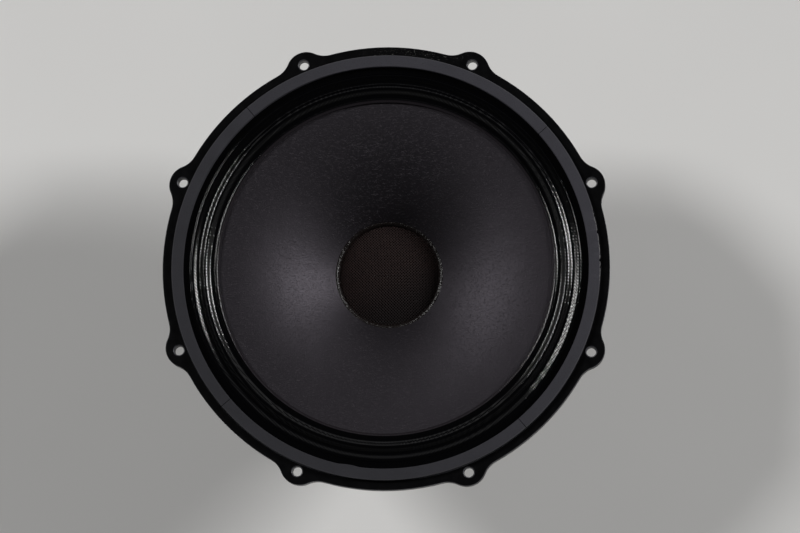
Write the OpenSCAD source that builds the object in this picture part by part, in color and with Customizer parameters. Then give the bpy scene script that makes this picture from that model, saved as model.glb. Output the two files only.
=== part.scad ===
// Mid-bass driver, 12 inch class, with a cast frame and a ring magnet.
// The axis is Z, the cone faces +Z, and the origin is the centre of the bolt circle
// on the flange's rear face.

/* [Flange] */
// Diameter of the circle through the bolt holes
bolt_circle_d = 298; // [296:0.5:300]
// Number of bolt lugs, each with one hole
bolt_count = 8; // [4:4:8]
// Diameter of each bolt hole
bolt_hole_d = 6.4; // [5.5:0.1:7]
// Depth of the worn chamfer round the front of each bolt hole
bolt_hole_chamfer = 0.5; // [0.2:0.1:0.8]
// Thickness of the flange
flange_t = 8; // [7:0.5:10]
// Diameter of the flange's rim between the lugs
rim_d = 300; // [296:1:302]
// Radius of each lug's rounded end
lug_r = 13.3; // [12:0.1:15]
// How far each lug's centre lies inside the bolt circle
lug_setback = 4.5; // [3:0.5:6]
// Radius of the fillets that run from each lug into the rim
lug_fillet_r = 16; // [10:1:20]
// How far the rim stands out past the spigot that drops into the baffle
flange_ledge_w = 9; // [7:0.5:11]
// Depth of the spigot behind the flange
spigot_depth = 12; // [8:1:14]
// Wall of the spigot
spigot_wall = 4.5; // [3.5:0.5:5]

/* [Frame] */
// Depth of the frame from the flange's rear face to the motor
frame_depth = 82; // [78:1:90]
// Depth of the spider's landing behind the flange's rear face
landing_depth = 50; // [46:1:52]
// Thickness of the bowl's wall
bowl_wall = 5; // [4:0.5:6]
// How far the landing ring reaches past the spider
landing_margin = 8; // [6:0.5:10]
// Thickness of the short wall under the landing
foot_wall = 4.5; // [3.5:0.5:5]
// Width of the foot's ledge outside the short wall
foot_ledge_w = 10; // [9.5:0.5:12]
// Thickness of the foot
foot_t = 6; // [5:0.5:8]
// Gap from the top plate's hole to the hole in the foot above it
foot_hole_gap = 6.75; // [4:0.25:10]
// Number of spokes
spoke_count = 8; // [6:2:8]
// Width of each spoke
spoke_w = 15; // [12:1:18]
// Thickness of the rib behind each spoke
rib_t = 4.5; // [3:0.5:6]
// Width of each cooling slot under the landing
slot_w = 26; // [16:1:30]
// Height of each cooling slot
slot_h = 13; // [8:1:14]

/* [Gasket] */
// Width of bare flange between the rim and the front gasket
rim_band_w = 6.4; // [5:0.2:8]
// Width of the gasket's ring
gasket_w = 7.7; // [6.5:0.1:8.5]
// Thickness of the gasket
gasket_t = 3.4; // [2:0.2:4]
// Depth of the seat for the gasket and the surround
gasket_seat_depth = 1; // [0.5:0.1:1.5]
// Number of pieces the gasket is cut in
gasket_parts = 4; // [2:1:6]
// Width of the seam between two gasket pieces
gasket_seam = 0.4; // [0.2:0.1:0.8]
// Angle of the first seam
gasket_seam_angle = 41.3; // [0:0.1:90]

/* [Cone and surround] */
// Width from the cone's edge to the gasket
surround_w = 19.9; // [17:0.1:23]
// Thickness of the cone's paper along the axis
cone_t = 1.1; // [0.8:0.1:1.5]
// How far the cone's front edge lies below the surround's seat
cone_edge_drop = 1.6; // [1:0.1:2.5]
// Slope of the cone at its outer edge
cone_edge_slope = 0.1; // [0.05:0.01:0.15]
// Depth of the cone from its edge to its neck
cone_depth = 39.7; // [38:0.1:41]
// How late the curve of the cone steepens
cone_curve_power = 2.5; // [2.3:0.1:2.8]
// Thickness of the surround's doped cloth
surround_t = 0.6; // [0.4:0.1:0.8]
// Number of rolls in the surround
roll_count = 2; // [2:1:3]
// Height of each roll's crest above the surround's seat
roll_height = 1.8; // [1.6:0.1:3.2]
// Width of the surround's lip on the front of the cone
surround_lip_w = 3.4; // [2.5:0.1:5]
// Free travel of the cone each way
cone_travel = 7; // [4:0.5:8]

/* [Dust cap] */
// How far the dust cap reaches past the inside of the voice coil
cap_overhang = 2.45; // [2:0.05:4]
// Height of the cap's dome
cap_height = 8; // [6:0.5:12]
// Thickness of the cap's mesh
cap_t = 0.7; // [0.5:0.1:0.9]
// Width of the adhesive bead round the cap
bead_w = 3; // [2:0.2:4]
// Height of the adhesive bead
bead_height = 1.6; // [1:0.1:2]

/* [Voice coil] */
// Inner diameter of the voice coil's former
coil_d = 63.5; // [62.5:0.1:64]
// Thickness of the former
former_t = 0.35; // [0.2:0.05:0.4]
// Length of the winding
winding_length = 14; // [10:0.5:14]
// Thickness of the winding's two layers
winding_t = 0.75; // [0.5:0.05:0.9]
// Length of bare former below the winding
former_tail = 1.5; // [1:0.5:2]
// Radial gap from the pole to the former
gap_inner = 0.4; // [0.3:0.05:0.6]
// Radial gap from the winding to the top plate
gap_outer = 0.4; // [0.3:0.05:0.6]
// Thickness of the strips that carry current up the former
strip_t = 0.2; // [0.1:0.05:0.3]

/* [Spider] */
// Outer diameter of the spider
spider_d = 160; // [156:1:162]
// Width of the flat band glued to the landing
spider_band_w = 10; // [8:0.5:11]
// Width of the flat collar at the spider's inner edge
spider_collar_w = 4; // [3:0.5:5]
// Thickness of the spider's cloth
spider_t = 0.5; // [0.4:0.1:0.7]
// Number of corrugations
spider_rolls = 6; // [4:1:8]
// Height of a corrugation from trough to crest
spider_roll_height = 3; // [2:0.2:4]
// Gap from the spider's inner edge to the former
spider_gap = 0.45; // [0.4:0.05:0.8]

/* [Motor] */
// Thickness of the top plate
top_plate_t = 8; // [7:0.5:10]
// How far the ferrite ring stands out past the plates
magnet_lip = 3; // [1:0.5:6]
// Gap from the shorting ring to the inside of the ferrite ring
magnet_hole_gap = 6; // [3:0.5:9]
// Room left below the voice coil at the end of its travel
coil_back_room = 3.5; // [2.5:0.5:6]
// Thickness of the back plate
back_plate_t = 8; // [7:0.5:10]
// Height of the pole's top above the top plate
pole_rise = 1.5; // [0:0.5:2]
// Diameter of the vent through the pole
vent_d = 26; // [18:1:30]
// Width of the shorting ring round the pole
ring_w = 8.65; // [6:0.05:11]
// Height of the shorting ring
ring_h = 5; // [3:0.5:5.5]
// Diameter of the screen over the vent
screen_d = 37; // [35:1:40]
// Thickness of the screen
screen_t = 0.8; // [0.6:0.1:1.2]
// Pitch of the screen's mesh
screen_pitch = 2.6; // [2.4:0.1:4]
// Diameter of the screws that hold the frame to the motor
motor_screw_d = 5; // [4:0.5:5]
// Length of those screws below the head
motor_screw_length = 12; // [11:0.5:13]

/* [Terminals] */
// Distance between the two terminals
terminal_pitch = 22; // [20:1:24]
// Width of the terminal board
board_w = 42; // [40:1:46]
// Height of the terminal board
board_h = 28; // [27:1:30]
// Thickness of the terminal board
board_t = 3.5; // [3:0.5:4]
// Distance from the landing ring to the board's inner face
board_standoff = 11; // [10:0.5:13]
// Outer diameter of each terminal's barrel
barrel_d = 8; // [7.6:0.2:9]
// Length of each barrel
barrel_length = 15.8; // [15.5:0.1:17]
// Diameter of the plunger's head
plunger_d = 5; // [4.6:0.1:5.2]
// Radial clearance of the plunger in the barrel
plunger_clearance = 0.08; // [0.05:0.01:0.1]
// Diameter of the plunger's stem
stem_d = 3.8; // [3.2:0.1:4]
// Diameter of the cross hole for the wire
wire_hole_d = 2.6; // [2:0.1:2.8]
// Diameter of the coloured push button
button_d = 7.8; // [7:0.2:9]
// Height of the push button
button_h = 5; // [4:0.5:7]
// Travel of the push button
button_travel = 3; // [2:0.1:3]
// Diameter of the terminal spring's wire
spring_wire_d = 0.5; // [0.4:0.05:0.6]
// Number of turns in each terminal spring
spring_turns = 4; // [3:1:5]
// Thickness of the solder tags
tag_t = 0.8; // [0.6:0.1:1]
// Width of the solder tags
tag_w = 6; // [5.4:0.2:7]
// Length of a solder tag's tongue
tag_length = 9; // [7:0.5:10]
// Diameter of the terminal board's screws
board_screw_d = 3; // [2.5:0.5:3]
// Diameter of the braided leads
lead_d = 1.6; // [1.2:0.1:2]

/* [Hidden] */
cast_black = "#1c1c1e";
fine = 120;
medium = 64;
small = 32;
corner_step_count = 4;
outline_step = 2.5;
tiny = 0.05;
seat_gap = 0.3;
overlap = 1;

rim_r = rim_d / 2;
bolt_r = bolt_circle_d / 2;
lug_centre_r = bolt_r - lug_setback;
spigot_r = rim_r - flange_ledge_w;
skirt_inner_r = spigot_r - spigot_wall;
gasket_r = rim_r - rim_band_w;
gasket_inner_r = gasket_r - gasket_w;
seat_r = gasket_r + seat_gap;
seat_z = flange_t - gasket_seat_depth;
landing_lip_w = 2.4;
landing_lip_t = 4;
frame_bore_r = gasket_inner_r - landing_lip_w;
rim_overlap = 2;
cast_round = 0.8;
cast_edge = 1;
cast_fillet = 1.5;
foot_fillet = 2;
bowl_fillet = 5;

motor_z = -frame_depth;
foot_top_z = motor_z + foot_t;
landing_z = -landing_depth;
landing_t = 4.5;
landing_step_gap = 1;
landing_relief = 0.5;
landing_shelf_w = 2;
spider_r = spider_d / 2;
landing_r = spider_r + landing_margin;
landing_step_r = spider_r + landing_step_gap;
landing_inner_r = spider_r - spider_band_w + landing_relief;
foot_wall_inner_r = landing_inner_r + landing_shelf_w;
foot_wall_r = foot_wall_inner_r + foot_wall;
foot_r = foot_wall_r + foot_ledge_w;
landing_back_z = landing_z - landing_t;

// The bowl's outer face runs from the spigot's end in to the landing ring
bowl_run = spigot_r - landing_r;
bowl_rise = landing_depth - spigot_depth;
bowl_length = norm([bowl_run, bowl_rise]);
bowl_lift = bowl_wall * bowl_length / bowl_run;
function bowl_outer_z(r) = landing_z + (r - landing_r) * bowl_rise / bowl_run;
function bowl_inner_z(r) = bowl_outer_z(r) + bowl_lift;

window_ledge_w = 4;
window_margin = 1.5;
window_inner_r = landing_r + window_ledge_w;
window_outer_r = frame_bore_r - window_margin;
window_corner_r = 6;
spoke_pitch = 360 / spoke_count;
terminal_angle = -90;
slot_corner_r = 3;
slot_reach_in = 4;
slot_reach_out = 2.5;

// The rib stands on the bowl's back, bends under the landing and ends on the foot
rib_sink = 1;
rib_inset = 2;
rib_root_w = 5;
rib_rim_h = 4;
rib_elbow_w = 9;
rib_elbow_drop = 2;
rib_knee_drop = 8;

cone_r = gasket_inner_r - surround_w;
cone_edge_z = seat_z - cone_edge_drop;
former_inner_r = coil_d / 2;
former_r = former_inner_r + former_t;
neck_clearance = 0.25;
neck_r = former_r + neck_clearance;
cone_run = cone_r - neck_r;
cone_step_count = 18;
function cone_front_z(r) =
  let (d = cone_r - r)
  cone_edge_z - cone_edge_slope * d
    - (cone_depth - cone_edge_slope * cone_run) * pow(d / cone_run, cone_curve_power);
function cone_back_z(r) = cone_front_z(r) - cone_t;
neck_z = cone_edge_z - cone_depth;
cone_radii = [for (i = [0 : cone_step_count]) neck_r + cone_run * i / cone_step_count];

// Each roll of the surround is one wave between the cone and the landing
wave_margin = 0.8;
landing_bare_w = 1.2;
wave_start_r = cone_r + wave_margin;
wave_end_r = gasket_inner_r - landing_bare_w;
roll_pitch = (wave_end_r - wave_start_r) / roll_count;
lip_z = cone_edge_z + seat_gap + surround_t;
crest_z = seat_z + roll_height;
landing_top_z = seat_z + surround_t;
wave_step_count = 9 * roll_count;
function wave_z(r) =
  let (
    along = (r - wave_start_r) / (wave_end_r - wave_start_r),
    valley = lip_z + (landing_top_z - lip_z) * along,
    lift = (1 - cos(360 * (r - wave_start_r) / roll_pitch)) / 2
  )
  valley + (crest_z - valley) * lift;

cap_r = former_inner_r + cap_overhang;
cap_edge_z = cone_front_z(cap_r) + tiny;
dome_r = (cap_r * cap_r + cap_height * cap_height) / (2 * cap_height);
dome_centre_z = cap_edge_z + cap_height - dome_r;
cap_step_count = 12;
bead_inner_r = cap_r + tiny;
bead_outer_r = bead_inner_r + bead_w;

top_plate_z = motor_z - top_plate_t;
winding_mid_z = motor_z - top_plate_t / 2;
winding_top_z = winding_mid_z + winding_length / 2;
winding_bottom_z = winding_mid_z - winding_length / 2;
former_bottom_z = winding_bottom_z - former_tail;
magnet_z = former_bottom_z - cone_travel - coil_back_room - ring_h;
back_z = magnet_z - back_plate_t;
former_rise = 0.8;
former_top_z = neck_z + former_rise;
winding_r = former_r + winding_t;
pole_r = former_inner_r - gap_inner;
plate_hole_r = winding_r + gap_outer;
plate_r = foot_r;
magnet_r = plate_r + magnet_lip;
ring_r = pole_r + ring_w;
magnet_hole_r = ring_r + magnet_hole_gap;
foot_hole_r = plate_hole_r + foot_hole_gap;
pole_top_z = motor_z + pole_rise;
edge_chamfer = 1.5;
screen_inset = 1;

spider_inner_r = former_r + spider_gap;
spider_top_z = landing_z + spider_t;
spider_wave_start_r = spider_inner_r + spider_collar_w;
spider_wave_end_r = spider_r - spider_band_w;
spider_pitch = (spider_wave_end_r - spider_wave_start_r) / spider_rolls;
spider_step_count = 8 * spider_rolls;
function spider_z(r) =
  r < spider_wave_start_r || r > spider_wave_end_r ? spider_top_z
  : spider_top_z + spider_roll_height / 2 * sin(360 * (r - spider_wave_start_r) / spider_pitch);

screw_play = 0.2;
motor_head_d = motor_screw_d * 1.6;
motor_socket_d = motor_screw_d * 0.92;
motor_screw_circle_r = (foot_wall_r + foot_r) / 2;

// The terminals stand in the window at terminal_angle, on a pad of the frame
pad_root = 3;
pad_margin = 2;
pad_w = board_w + 2 * pad_margin;
pad_rise = 6;
pad_top_z = landing_z + pad_rise;
pad_h = 13;
board_foot = 1;
board_r = landing_r + board_standoff;
board_bottom_z = pad_top_z - pad_h + board_foot;
board_mid_z = board_bottom_z + board_h / 2;
board_face_r = board_r + board_t;
terminal_inset = 7.5;
screw_inset_z = 5.5;
screw_inset_x = 6;
terminal_z = board_bottom_z + board_h - terminal_inset;
board_screw_z = board_bottom_z + screw_inset_z;
board_screw_pitch = board_w - 2 * screw_inset_x;
board_screw_length = 11;
barrel_r = barrel_d / 2;
barrel_bore_r = plunger_d / 2 + plunger_clearance;
barrel_floor = 2;
barrel_lip = 1.5;
stem_r = stem_d / 2;
tail_r = 2;
tail_play = 0.1;
screw_bite = 2;
plunger_bottom = 8;
plunger_top = barrel_length - barrel_lip - seat_gap;
wire_hole_rest = plunger_bottom + button_travel;
button_stop_gap = 0.2;
button_bottom = barrel_length + button_travel + button_stop_gap;
spring_gap = 0.1;
lead_r = lead_d / 2;
tag_margin = 0.5;
tag_corner_r = 1;
tongue_w = tag_w / 2;
tongue_drop = tag_w / 2 + tag_margin;

// Each lead leaves the glued joint on the former and ends on the tongue of its tag
joint_angle = 14;
joint_drop = 10;
joint_z = neck_z - joint_drop;
joint_h = 5;
joint_w = 6;
joint_t = 2.2;
lead_lap = 2.5;
lead_handle = 16;
lead_dip = 2;
lead_rise = 3;
lead_step_count = 20;
lead_side_count = 8;

function unit(v) = v / norm(v);

// Points of the arc that rounds corner b, with its radius kept inside both edges
function corner_arc(a, b, c, r) =
  let (
    u = unit(a - b),
    v = unit(c - b),
    half = acos(u * v) / 2,
    reach = min(r / tan(half), 0.45 * norm(a - b), 0.45 * norm(c - b)),
    fit_r = reach * tan(half),
    centre = b + unit(u + v) * fit_r / sin(half),
    from = b + u * reach - centre,
    to = b + v * reach - centre,
    start = atan2(from[1], from[0]),
    turn = atan2(from[0] * to[1] - from[1] * to[0], from * to)
  )
  [for (i = [0 : corner_step_count]) centre + polar(fit_r, start + turn * i / corner_step_count)];

// A closed outline of [x, y, corner radius] with its corners rounded
function rounded(corners) =
  let (
    n = len(corners),
    p = [for (q = corners) [q[0], q[1]]]
  )
  [for (i = [0 : n - 1])
    each corners[i][2] == 0 ? [p[i]] : corner_arc(p[(i + n - 1) % n], p[i], p[(i + 1) % n], corners[i][2])];

function rounded_rectangle(w, h, r) =
  rounded([[-w / 2, -h / 2, r], [w / 2, -h / 2, r], [w / 2, h / 2, r], [-w / 2, h / 2, r]]);

function polar(r, angle) = [r * cos(angle), r * sin(angle)];

function arc_points(centre, r, start, end, count) =
  [for (i = [0 : count]) centre + polar(r, start + (end - start) * i / count)];

// One lug and the stretch of rim before it, measured from the lug's own angle
function lug_points() =
  let (
    fillet_at = rim_r + lug_fillet_r,
    reach = lug_r + lug_fillet_r,
    meet = acos((fillet_at * fillet_at + lug_centre_r * lug_centre_r - reach * reach)
      / (2 * lug_centre_r * fillet_at)),
    f = polar(fillet_at, meet),
    l = [lug_centre_r, 0],
    out = atan2(f[1], f[0] - lug_centre_r),
    half_pitch = 180 / bolt_count,
    rim_step_count = max(2, round((half_pitch - meet) / outline_step)),
    upper = concat(
      arc_points(l, lug_r, 0, out, 8),
      arc_points(f, lug_fillet_r, out + 180, meet + 180, 6),
      arc_points([0, 0], rim_r, meet, half_pitch, rim_step_count)
    )
  )
  concat(
    [for (i = [len(upper) - 2 : -1 : 1]) [upper[i][0], -upper[i][1]]],
    [for (i = [0 : len(upper) - 1]) upper[i]]
  );

function turned(points, angle) =
  [for (p = points) [p[0] * cos(angle) - p[1] * sin(angle), p[0] * sin(angle) + p[1] * cos(angle)]];

function flange_outline() =
  let (lug = lug_points())
  [for (i = [0 : bolt_count - 1]) each turned(lug, (i + 0.5) * 360 / bolt_count)];

module at_each(count, offset) {
  for (i = [0 : count - 1]) rotate(terminal_angle + (i + offset) * 360 / count) children();
}

// A tube of flat-sided rings swept along a path
module sweep(path, r, sides) {
  n = len(path);
  tangents = [for (i = [0 : n - 1]) unit(path[min(i + 1, n - 1)] - path[max(i - 1, 0)])];
  rings = [for (i = [0 : n - 1])
    let (
      side = unit(cross(tangents[i], [0.01, 0.02, 1])),
      up = cross(side, tangents[i])
    )
    for (k = [0 : sides - 1]) path[i] + r * (cos(360 * k / sides) * side + sin(360 * k / sides) * up)];
  polyhedron(
    points = rings,
    faces = concat(
      [[for (k = [0 : sides - 1]) k]],
      [[for (k = [sides - 1 : -1 : 0]) (n - 1) * sides + k]],
      [for (i = [0 : n - 2]) for (k = [0 : sides - 1])
        let (a = i * sides + k, b = i * sides + (k + 1) % sides)
        each [[a, a + sides, b], [b, a + sides, b + sides]]]
    )
  );
}

function frame_section() = rounded([
  [rim_r - rim_overlap, 0, 0],
  [rim_r - rim_overlap, flange_t, 0],
  [seat_r, flange_t, 0],
  [seat_r, seat_z, 0],
  [frame_bore_r, seat_z, cast_round],
  [frame_bore_r, seat_z - landing_lip_t, cast_edge],
  [skirt_inner_r, seat_z - landing_lip_t - (skirt_inner_r - frame_bore_r), cast_fillet],
  [skirt_inner_r, bowl_inner_z(skirt_inner_r), bowl_fillet],
  [landing_step_r + cast_fillet, bowl_inner_z(landing_step_r + cast_fillet), cast_fillet],
  [landing_step_r, landing_z, 0],
  [landing_inner_r, landing_z, cast_round],
  [landing_inner_r, landing_back_z, cast_edge],
  [foot_wall_inner_r, landing_back_z - cast_edge, foot_fillet],
  [foot_wall_inner_r, foot_top_z, foot_fillet],
  [foot_hole_r, foot_top_z, cast_edge],
  [foot_hole_r, motor_z, 0],
  [foot_r, motor_z, cast_round],
  [foot_r, foot_top_z, cast_round],
  [foot_wall_r, foot_top_z, cast_round],
  [foot_wall_r, landing_back_z - cast_edge, cast_fillet],
  [landing_r, landing_back_z, cast_fillet],
  [landing_r, landing_z, cast_edge],
  [spigot_r, -spigot_depth, foot_fillet],
  [spigot_r, 0, 0]
]);

// One window between two spokes, centred on the X axis
function window_outline() =
  let (
    half_pitch = spoke_pitch / 2,
    side = spoke_w / 2,
    outer_angle = half_pitch - asin(side / window_outer_r),
    inner_angle = half_pitch - asin(side / window_inner_r),
    step_count = 6,
    outer = arc_points([0, 0], window_outer_r, -outer_angle, outer_angle, step_count),
    inner = arc_points([0, 0], window_inner_r, inner_angle, -inner_angle, step_count),
    corner = function(p, i) [p[0], p[1], i == 0 || i == step_count ? window_corner_r : 0]
  )
  rounded(concat(
    [for (i = [0 : step_count]) corner(outer[i], i)],
    [for (i = [0 : step_count]) corner(inner[i], i)]
  ));

module spoke_rib() {
  rotate([90, 0, 0]) linear_extrude(rib_t, center = true) polygon([
    [spigot_r - rib_inset, -spigot_depth + rib_sink],
    [spigot_r - rib_inset, -spigot_depth - rib_rim_h],
    [landing_r + rib_elbow_w, landing_z - rib_elbow_drop],
    [landing_r + rib_sink, landing_z - rib_knee_drop],
    [foot_r - rib_sink, foot_top_z],
    [foot_r - rib_sink, foot_top_z - rib_sink],
    [foot_wall_r - rib_sink, foot_top_z - rib_sink],
    [foot_wall_r - rib_sink, landing_z - rib_elbow_drop],
    [landing_r - rib_sink, landing_z - rib_elbow_drop],
    [spigot_r - rib_root_w, bowl_outer_z(spigot_r - rib_root_w) + rib_sink]
  ]);
}

module terminal_pad() {
  rotate(terminal_angle) translate([landing_r - pad_root, -pad_w / 2, pad_top_z - pad_h])
    cube([board_r - landing_r + pad_root, pad_w, pad_h]);
}

module basket() {
  color(cast_black) difference() {
    union() {
      rotate_extrude($fn = fine) polygon(frame_section());
      linear_extrude(flange_t) difference() {
        polygon(flange_outline());
        circle(r = (seat_r + rim_r - rim_overlap) / 2, $fn = fine);
      }
      at_each(spoke_count, 0.5) spoke_rib();
      difference() {
        terminal_pad();
        translate([0, 0, landing_back_z]) cylinder(r = landing_step_r, h = landing_depth, $fn = fine);
      }
    }
    at_each(spoke_count, 0) difference() {
      translate([0, 0, foot_top_z]) linear_extrude(-foot_top_z) polygon(window_outline());
      rotate(-terminal_angle) terminal_pad();
    }
    at_each(spoke_count, 0)
      translate([foot_wall_inner_r - slot_reach_in, 0, (foot_top_z + landing_back_z) / 2])
        rotate([90, 0, 90]) linear_extrude(slot_reach_in + foot_wall + slot_reach_out)
          polygon(rounded_rectangle(slot_w, slot_h, slot_corner_r));
    for (i = [0 : bolt_count - 1]) rotate((i + 0.5) * 360 / bolt_count) translate([bolt_r, 0, 0]) {
      translate([0, 0, -overlap]) cylinder(d = bolt_hole_d, h = flange_t + 2 * overlap, $fn = small);
      translate([0, 0, flange_t - bolt_hole_chamfer]) cylinder(
        d1 = bolt_hole_d, d2 = bolt_hole_d + 4 * bolt_hole_chamfer, h = 2 * bolt_hole_chamfer, $fn = small);
    }
    at_each(spoke_count, 0) translate([motor_screw_circle_r, 0, motor_z - overlap])
      cylinder(d = motor_screw_d + 2 * screw_play, h = foot_t + 2 * overlap, $fn = small);
    for (side = [-1, 1]) at_terminal(side * board_screw_pitch / 2, board_screw_z)
      translate([0, 0, -board_t - board_screw_length - overlap])
        cylinder(d = board_screw_d + screw_play, h = board_screw_length + 2 * overlap, $fn = small);
  }
}

// Puts its children on the board's outer face, with their own Z pointing outwards
module at_terminal(across, z) {
  rotate(terminal_angle + 90) translate([across, -board_face_r, z]) rotate([90, 0, 0]) children();
}

module ring(r_out, r_in, z, h) {
  translate([0, 0, z]) difference() {
    cylinder(r = r_out, h = h, $fn = fine);
    translate([0, 0, -overlap]) cylinder(r = r_in, h = h + 2 * overlap, $fn = fine);
  }
}

module front_gasket() {
  gasket_z = seat_z + surround_t;
  color("#6e6e70") difference() {
    ring(gasket_r, gasket_inner_r, gasket_z, gasket_t);
    for (i = [0 : gasket_parts - 1]) rotate(gasket_seam_angle + i * 360 / gasket_parts)
      translate([gasket_inner_r - overlap, -gasket_seam / 2, gasket_z - overlap])
        cube([gasket_w + 2 * overlap, gasket_seam, gasket_t + 2 * overlap]);
  }
}

module surround() {
  lip_inner_r = cone_r - surround_lip_w;
  lift = seat_gap + surround_t;
  radii = [for (i = [0 : wave_step_count]) wave_start_r + (wave_end_r - wave_start_r) * i / wave_step_count];
  top = concat(
    [[lip_inner_r, cone_front_z(lip_inner_r) + lift], [cone_r, lip_z]],
    [for (r = radii) [r, wave_z(r)]],
    [[gasket_r, landing_top_z]]
  );
  bottom = [for (i = [len(top) - 1 : -1 : 0]) [top[i][0], top[i][1] - surround_t]];
  color("#0c0c0d") rotate_extrude($fn = fine) polygon(concat(bottom, top));
}

module cone() {
  front = [for (r = cone_radii) [r, cone_front_z(r)]];
  back = [for (i = [cone_step_count : -1 : 0]) [cone_radii[i], cone_back_z(cone_radii[i])]];
  color("#3a3634") rotate_extrude($fn = fine) polygon(concat(back, front));
}

module dust_cap() {
  function dome_z(r, radius) = dome_centre_z + sqrt(radius * radius - r * r);
  radii = [for (i = [0 : cap_step_count]) cap_r * i / cap_step_count];
  outer = [for (r = radii) [r, dome_z(r, dome_r)]];
  inner = [for (i = [cap_step_count : -1 : 0]) let (r = radii[i] * (cap_r - cap_t) / cap_r)
    [r, max(dome_z(r, dome_r - cap_t), cap_edge_z)]];
  color("#3b2e26") rotate_extrude($fn = fine) polygon(concat(outer, inner));
}

module cap_adhesive() {
  step_count = 8;
  foot = function(r) cone_front_z(r) + tiny;
  crown = [for (i = [0 : step_count])
    let (
      along = i / step_count,
      chord_z = foot(bead_outer_r) * (1 - along) + foot(bead_inner_r) * along
    )
    [bead_outer_r - bead_w * along, chord_z + bead_height * sin(180 * along)]];
  color("#141312") rotate_extrude($fn = fine) polygon(crown);
}

module neck_adhesive() {
  fillet_h = 3;
  far_r = cone_radii[1];
  color("#4a3a28") rotate_extrude($fn = fine) polygon([
    [former_r + tiny, cone_back_z(neck_r) - tiny],
    [former_r + tiny, cone_back_z(neck_r) - fillet_h],
    [far_r, cone_back_z(far_r) - tiny],
    [neck_r, cone_back_z(neck_r) - tiny]
  ]);
}

module voice_coil_former() {
  color("#b08d4a") ring(former_r, former_inner_r, former_bottom_z, former_top_z - former_bottom_z);
}

module voice_coil_winding() {
  color("#b5622a") ring(winding_r, former_r, winding_bottom_z, winding_length);
}

module coil_strips() {
  strip_h = joint_z - winding_top_z;
  strip_angle = 6;
  color("#b5622a") for (side = [-1, 1]) rotate(terminal_angle + side * joint_angle)
    rotate_extrude(angle = strip_angle, start = -strip_angle / 2, $fn = fine)
      translate([former_r, winding_top_z]) square([strip_t, strip_h]);
}

module lead_joints() {
  spread = 2 * asin(joint_w / 2 / former_r);
  color("#2a2522") for (side = [-1, 1]) rotate(terminal_angle + side * joint_angle)
    rotate_extrude(angle = spread, start = -spread / 2, $fn = fine)
      translate([former_r, joint_z]) square([joint_t, joint_h]);
}

module spider() {
  radii = concat(
    [spider_inner_r],
    [for (i = [0 : spider_step_count])
      spider_wave_start_r + (spider_wave_end_r - spider_wave_start_r) * i / spider_step_count],
    [spider_r]
  );
  top = [for (r = radii) [r, spider_z(r)]];
  bottom = [for (i = [len(radii) - 1 : -1 : 0]) [radii[i], spider_z(radii[i]) - spider_t]];
  color("#b3892f") rotate_extrude($fn = fine) polygon(concat(bottom, top));
}

module spider_adhesive() {
  fillet_h = 2.4;
  bare_collar_w = 1;
  inner_r = former_r + strip_t + tiny;
  color("#4a3a28") rotate_extrude($fn = fine) polygon([
    [inner_r, spider_top_z + seat_gap],
    [spider_inner_r + spider_collar_w - bare_collar_w, spider_top_z + seat_gap],
    [inner_r, spider_top_z + seat_gap + fillet_h]
  ]);
}

module top_plate() {
  color("#26272a") difference() {
    rotate_extrude($fn = fine) polygon([
      [plate_hole_r, top_plate_z],
      [plate_r - edge_chamfer, top_plate_z],
      [plate_r, top_plate_z + edge_chamfer],
      [plate_r, motor_z - edge_chamfer],
      [plate_r - edge_chamfer, motor_z],
      [plate_hole_r, motor_z]
    ]);
    at_each(spoke_count, 0) translate([motor_screw_circle_r, 0, top_plate_z - overlap])
      cylinder(d = motor_screw_d + screw_play / 2, h = top_plate_t + 2 * overlap, $fn = small);
  }
}

module magnet() {
  color("#2b2b2e") rotate_extrude($fn = fine) polygon([
    [magnet_hole_r, magnet_z],
    [magnet_r - edge_chamfer, magnet_z],
    [magnet_r, magnet_z + edge_chamfer],
    [magnet_r, top_plate_z - edge_chamfer],
    [magnet_r - edge_chamfer, top_plate_z],
    [magnet_hole_r, top_plate_z]
  ]);
}

module yoke() {
  vent_r = vent_d / 2;
  pole_chamfer = 1;
  throat_w = 1.5;
  screen_seat_r = screen_d / 2 + seat_gap;
  screen_seat_z = back_z + screen_inset + screen_t;
  color("#26272a") rotate_extrude($fn = fine) polygon([
    [screen_seat_r, back_z],
    [plate_r - edge_chamfer, back_z],
    [plate_r, back_z + edge_chamfer],
    [plate_r, magnet_z - edge_chamfer],
    [plate_r - edge_chamfer, magnet_z],
    [pole_r, magnet_z],
    [pole_r, pole_top_z - pole_chamfer],
    [pole_r - pole_chamfer, pole_top_z],
    [vent_r + pole_chamfer, pole_top_z],
    [vent_r, pole_top_z - pole_chamfer],
    [vent_r, magnet_z],
    [screen_seat_r - throat_w, screen_seat_z],
    [screen_seat_r, screen_seat_z]
  ]);
}

module shorting_ring() {
  color("#c9cacc") ring(ring_r, pole_r, magnet_z, ring_h);
}

module vent_screen() {
  wire = 0.9;
  rim_w = 3;
  screen_r = screen_d / 2;
  reach = ceil(screen_r / screen_pitch);
  color("#3c3d40") translate([0, 0, back_z + screen_inset]) linear_extrude(screen_t) difference() {
    circle(r = screen_r, $fn = medium);
    for (i = [-reach : reach], j = [-reach : reach])
      if (norm([i, j]) * screen_pitch < screen_r - rim_w)
        translate([i, j] * screen_pitch) square(screen_pitch - wire, center = true);
  }
}

module motor_screws() {
  color("#5a5b5e") at_each(spoke_count, 0) translate([motor_screw_circle_r, 0, foot_top_z]) {
    difference() {
      cylinder(d = motor_head_d, h = motor_screw_d, $fn = small);
      translate([0, 0, motor_screw_d / 2]) cylinder(d = motor_socket_d, h = motor_screw_d, $fn = 6);
    }
    translate([0, 0, -motor_screw_length]) cylinder(d = motor_screw_d, h = motor_screw_length, $fn = small);
  }
}

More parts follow.
